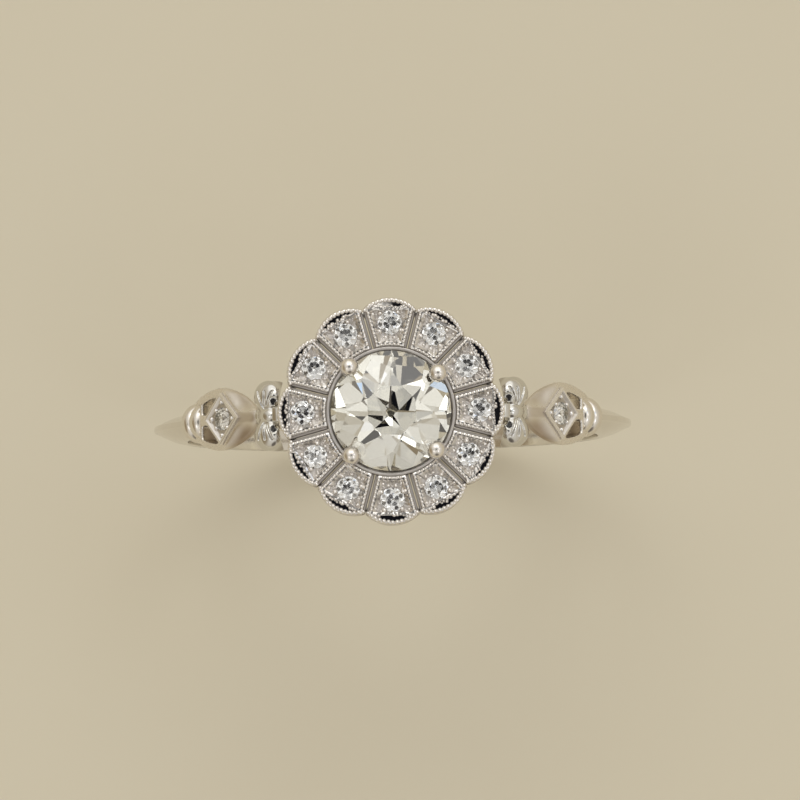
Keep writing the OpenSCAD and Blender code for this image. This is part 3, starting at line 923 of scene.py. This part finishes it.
def leaf_field(u, v, w):
    """The leaf: windows on the collar's side, flutes beside its stem on the bow's side."""
    edge = leaf_edge(u, v)
    undercut = 0.5 * np.clip(-w, 0.0, LEAF_T)
    lozenge = lozenge_edge(u, v)
    flute = 0.20 * leaf_flute(u, v)
    crown = 0.12 * smooth(edge, -0.40, 0.05)
    body = soft_max(edge + undercut, w + flute + crown, 0.20)
    body = soft_max(body, -LEAF_T - w, 0.05)
    body = soft_max(body, np.maximum(along(LEAF_PHI) - u, u - along(BOW_PHI)), 0.01)
    notch = soft_min(on_shoulder(u, v, w)[0] - LEAF_END_X, 0.66 - np.abs(v), 0.06)
    body = soft_max(body, notch, 0.03)
    border = 0.40 + 0.10 * smooth(v, -0.2, 0.2)
    window = soft_max(edge + border, 0.22 - np.abs(v), 0.14)
    window = soft_max(window, 0.16 - lozenge, 0.14)
    window = soft_max(window, np.maximum(-1.44 - u, u + 0.22), 0.10)
    body = soft_max(body, -window, 0.12)
    return np.maximum(body, -lozenge)


def leaf_painted_shade(u, v, w):
    """Painted shade inside the windows, in the hollows and along the stem, heavier on the -Y side; the
    windows on the +Y side are left clean and polished instead.
    """
    window = smooth(-leaf_edge(u, v), 0.22, 0.36) * smooth(-w, 0.15, 0.5)
    lower = 1 - smooth(v, -0.3, 0.3)
    stem = smooth(u, 0.80, 1.05) * smooth(0.24 - np.abs(v), 0.0, 0.10)
    # Painted warm shade in the flutes, more on the -Y side, and painted shadow along the stem.
    outside = leaf_flute(u, v) * (0.26 + 0.40 * lower) + 0.28 * stem
    # Windows: painted shade on the -Y side, brighter polish on the +Y side.
    return window * (0.90 * lower - 0.45) + (1 - window) * outside


def field_shape(field, tone, low, high, step):
    """A shape in the ring's frame from a field in a shoulder's (u, v, w)."""
    points, faces = mesh_field(field, low, high, step)
    tones = [float(value) for value in tone(*points.T)]
    shape = Shape()
    shape.add([on_shoulder(*point) for point in points], faces, tones)
    return shape


def make_leaves():
    """The openwork leaf of each shoulder."""
    margin = 0.1
    low = (along(LEAF_PHI) - margin, -LEAF_W / 2 - margin, -LEAF_T - margin)
    high = (along(BOW_PHI) + margin, LEAF_W / 2 + margin, 0.15)
    shape = field_shape(leaf_field, leaf_painted_shade, low, high, 0.035)
    both_sides(shape, "shoulder", SHOULDER, None)


def make_lozenges():
    """Square collets set on their corners, with a beaded field round each stone."""
    half = LOZENGE_W / 2
    stone_r = LOZENGE_STONE_D / 2
    hole_r = 0.28
    turns = full_turn(96)
    # Rows of (inset or radius, height, tone); the tone is painted shade, deeper down the sides and into
    # the stone's seat.
    squares = ((0.05, -LEAF_T + 0.1, 0.3), (0.0, -LEAF_T + 0.15, 0.3), (0.0, LOZENGE_RISE - 0.06, 0.0),
               (0.03, LOZENGE_RISE - 0.01, 0.0), (0.07, LOZENGE_RISE, 0.0), (0.13, LOZENGE_RISE, 0.0),
               (0.16, LOZENGE_RISE - 0.015, 0.0), (0.27, 0.02, 0.2), (0.31, 0.0, 0.45))
    circles = ((stone_r - 0.005, 0.0, 0.5), (stone_r - 0.03, -0.08, 0.8), (hole_r, -0.25, 0.9),
               (hole_r, -LEAF_T + 0.1, 0.6))
    rings = []
    for inset, z, _ in squares:
        reaches = [(half - inset) / (abs(math.cos(t)) + abs(math.sin(t))) for t in turns]
        rings.append([(reach * math.cos(t), reach * math.sin(t), z) for reach, t in zip(reaches, turns)])
    for r, z, _ in circles:
        rings.append(circle((0.0, 0.0, z), r, turns))
    collet = Shape()
    collet.loft(rings, [row[-1] for row in squares + circles], closed=True)
    rng = random.Random(3)
    for k in range(4):
        turn = math.pi / 2 * k
        for reach, angle, r in ((0.66, turn, 0.12), (stone_r + 0.03, turn + math.pi / 4, 0.10)):
            spot = (reach * math.cos(angle), reach * math.sin(angle), -0.01)
            collet.dome(spot, r * rng.uniform(0.9, 1.1), 0.13)
    matrix = lozenge_place()
    both_sides(collet.moved(lambda x, y, z: tuple(matrix @ Vector((x, y, z)))), "lozenge_collet", ENGRAVED)
    stone = small_stone(LOZENGE_STONE_D, 21)
    place_stone(stone, "right_lozenge_diamond", matrix, SHOULDER_GEM)
    place_stone(stone, "left_lozenge_diamond", Matrix.Rotation(math.pi, 4, "Z") @ matrix, SHOULDER_GEM)


def bow_loops(a, side, w):
    """Two domed loops, each with a bright cut on its inner side and three creases. The length a
    runs from the bow's middle."""
    plan = np.hypot(a + 0.08, side - (BOW_W / 2 - BOW_LOOP_R)) / BOW_LOOP_R
    loops = (np.sqrt(plan ** 2 + (np.maximum(w + BOW_SINK, 0.0) / BOW_DOME) ** 2) - 1) * BOW_LOOP_R
    surface = -BOW_SINK + BOW_DOME * np.sqrt(np.maximum(1 - plan ** 2, 0.0))
    upright = math.radians((BOW_PHI + HEAD_PHI) / 2)
    cut_floor = 0.265 - a * math.cos(upright) - w * math.sin(upright) + 0.04 * (side - 0.55)
    scoop = soft_max(cut_floor, np.hypot(1.3 * (a - 0.37), side - 0.56) - 0.17, 0.03)
    loops = soft_max(loops, -scoop, 0.02)
    for slant in (-0.40, 0.05, 0.42):
        crease = np.hypot(a - slant * (side - 0.15), 0.7 * (w - surface)) - 0.05
        crease = soft_max(crease, side - 1.0, 0.05)
        loops = soft_max(loops, -crease, 0.015)
    return loops


def bow_field(u, v, w):
    """The loops, the knot that gathers them and the stem that joins them to the leaf."""
    a = u - along((BOW_PHI + HEAD_PHI) / 2)
    side = np.abs(v)
    knot_r, knot_half = 0.38, 0.48
    knot = np.sqrt((a / knot_half) ** 2 + (side / knot_r) ** 2 + ((w + BOW_SINK) / knot_r) ** 2)
    body = soft_min(bow_loops(a, side, w), (knot - 1) * knot_r, 0.04)
    top = w + 0.12 * smooth(side, 0.05, 0.5) + 0.13 * smooth(side, 0.09, 0.43)
    stem = soft_max(side - 0.42 + 0.25 * (a + 0.6), top, 0.16)
    stem = soft_max(stem, a - 0.2, 0.05)
    body = soft_min(body, stem, 0.08)
    body = soft_max(body, 0.14 - np.hypot(np.abs(a) - 0.56, side - 0.40), 0.04)
    body = soft_max(body, -BOW_DEPTH - w, 0.05)
    body = soft_max(body, HALO_TIP + 0.01 - np.hypot(on_shoulder(u, v, w)[0], v), 0.03)
    return soft_max(body, along(BOW_PHI) - u, 0.01)


def bow_painted_shade(u, v, w):
    """Painted shade on a bow, which grows toward its underside."""
    return 0.5 * smooth(-w, 0.2, 0.6)


def make_bows():
    """Bows, each with a foot that reaches in to the gallery rail."""
    margin = 0.08
    low = (along(BOW_PHI) - margin, -BOW_W / 2 - margin, -BOW_DEPTH - margin)
    high = (along(HEAD_PHI) + margin, BOW_W / 2 + margin, 0.32)
    shape = field_shape(bow_field, bow_painted_shade, low, high, 0.03)
    foot = rounded_profile(-0.28, 0.28, RAIL_LOW, RAIL_TOP - 0.03, 0.05)
    shape.loft([[(x, y, z) for y, z in foot] for x in (RAIL_OUT - 0.02, HALO_TIP + 0.22)])
    both_sides(shape, "bow", SHADED_BOW_METAL, None)


def make_collars():
    """Pairs of half-round rings round the end of the shank, hollowed to fit the finger."""
    shape = Shape()
    ring_phi = (LEAF_PHI - COLLAR_PHI) / 2
    ring_w = math.radians(ring_phi) * (SHOULDER_R - COLLAR_W / 2)
    core = (COLLAR_W - ring_w) / 2
    steps = 24
    shrink = 1 - COLLAR_W / 2 / SHOULDER_R
    for middle in (COLLAR_PHI + ring_phi / 2, LEAF_PHI - ring_phi / 2):
        rings = []
        for k in range(steps + 1):
            lift = math.pi * (k / steps - 0.5)
            r = core + ring_w / 2 * math.cos(lift)
            u = along(middle) + ring_w / 2 * math.sin(lift) / shrink
            ring = []
            for turn in full_turn(64):
                x, y, z = on_shoulder(u, r * math.sin(turn), r * math.cos(turn) - COLLAR_W / 2)
                lift_out = max(1.0, (FINGER_R + 0.02) / math.hypot(x, z))
                ring.append((x * lift_out, y, z * lift_out))
            rings.append(ring)
        shape.loft(rings)
    both_sides(shape, "collar", COLLAR)


# --- Camera and light --------------------------------------------------------------------------

def make_camera():
    """A long lens looking almost straight down on the halo."""
    distance = 220.0
    view_width = 31.6
    tilt_down = math.radians(3.5)
    tilt_side = math.radians(0.2)
    roll = math.radians(-0.95)
    aside, above = 0.356, 0.435
    data = bpy.data.cameras.new("camera")
    data.sensor_width = 36.0
    data.lens = data.sensor_width * distance / view_width
    data.clip_start = 0.01
    data.clip_end = 10.0
    camera = bpy.data.objects.new("camera", data)
    bpy.context.scene.collection.objects.link(camera)
    turn = Matrix.Rotation(tilt_side, 3, "Y") @ Matrix.Rotation(tilt_down, 3, "X")
    turn = turn @ Matrix.Rotation(roll, 3, "Z")
    back = turn @ Vector((0.0, 0.0, 1.0))
    right = turn @ Vector((1.0, 0.0, 0.0))
    up = turn @ Vector((0.0, 1.0, 0.0))
    aim = Vector((0.0, 0.0, HALO_TOP)) + right * aside + up * above
    camera.matrix_world = Matrix.Translation((aim + back * distance) * MM) @ turn.to_4x4()
    bpy.context.scene.camera = camera


def lobe(tree, direction, toward, inner, outer):
    """1 within `inner` degrees of a direction, falling softly to 0 at `outer` degrees."""
    dot = tree.nodes.new("ShaderNodeVectorMath")
    dot.operation = "DOT_PRODUCT"
    link(tree, direction, dot.inputs[0])
    dot.inputs[1].default_value = Vector(toward).normalized()
    ramp = tree.nodes.new("ShaderNodeMapRange")
    ramp.interpolation_type = "SMOOTHSTEP"
    link(tree, dot.outputs["Value"], ramp.inputs["Value"])
    ramp.inputs["From Min"].default_value = math.cos(math.radians(outer))
    ramp.inputs["From Max"].default_value = math.cos(math.radians(inner))
    return ramp.outputs["Result"]


# Soft boxes and dark flags around the ring: direction, inner and outer angle, colour
SOFT_BOXES = (
    ((-0.05, 0.80, 0.80), 25, 38, (1.20, 1.18, 1.13)),
    ((-0.20, 0.70, 1.0), 8, 10, (2.7, 2.7, 2.6)),
    ((0.24, 0.70, 1.0), 8, 10, (2.7, 2.7, 2.6)),
    ((-0.50, -0.38, 1.0), 4, 9, (1.9, 1.9, 1.9)),
    ((0.50, -0.35, 1.0), 4, 9, (1.9, 1.95, 2.1)),
    ((0.64, 0.16, 1.0), 4, 8, (1.9, 1.9, 1.9)),
    ((0.46, 0.30, 1.0), 3, 6, (0.8, 1.1, 1.6)),
)
DARK_FLAGS = (
    ((0.0, 0.05, 1.0), 9, 12, (0.008, 0.008, 0.010)),
    ((-0.62, -0.02, 1.0), 3, 6, (0.03, 0.03, 0.03)),
    ((0.15, -0.62, 1.0), 3, 6, (0.03, 0.03, 0.03)),
    ((0.1, -0.9, 0.45), 12, 24, (0.16, 0.14, 0.12)),
    ((-1.0, -0.18, 0.20), 12, 42, (0.33, 0.26, 0.165)),
)


def make_world():
    """A warm, pale surround with soft boxes and the dark of the lens overhead."""
    world = bpy.data.worlds.new("studio")
    bpy.context.scene.world = world
    world.use_nodes = True
    tree = world.node_tree
    direction = tree.nodes.new("ShaderNodeTexCoord").outputs["Generated"]
    split = tree.nodes.new("ShaderNodeSeparateXYZ")
    link(tree, direction, split.inputs[0])
    height = math_node(tree, "MAXIMUM", split.outputs["Z"], 0.0)
    color = mix_color(tree, height, (0.535, 0.47, 0.36), (0.86, 0.84, 0.795))
    for toward, inner, outer, tint in SOFT_BOXES + DARK_FLAGS:
        color = mix_color(tree, lobe(tree, direction, toward, inner, outer), color, tint)
    near_floor = math_node(tree, "MULTIPLY_ADD", split.outputs["Z"], -10.0, 1.3, clamp=True)
    color = mix_color(tree, near_floor, color, (0.70, 0.635, 0.475))
    link(tree, color, tree.nodes["Background"].inputs["Color"])


def make_floor():
    """A plain floor that the hoop stands on."""
    bpy.ops.mesh.primitive_plane_add(size=2.0, location=(0.0, 0.0, FLOOR_Z * MM))
    floor = bpy.context.object
    floor.name = "floor"
    floor.data.materials.append(floor_material())


# --- The ring ----------------------------------------------------------------------------------

make_shank()
make_collars()
make_leaves()
make_lozenges()
make_bows()
make_halo()
make_centre_diamond()
make_collet()
make_rails()
for number in range(1, STRUT_COUNT + 1):
    make_strut(number)
for number in range(1, len(PRONG_ANGLES) + 1):
    make_prong(number)

bpy.context.scene.view_settings.view_transform = "Standard"
make_world()
make_floor()
make_camera()
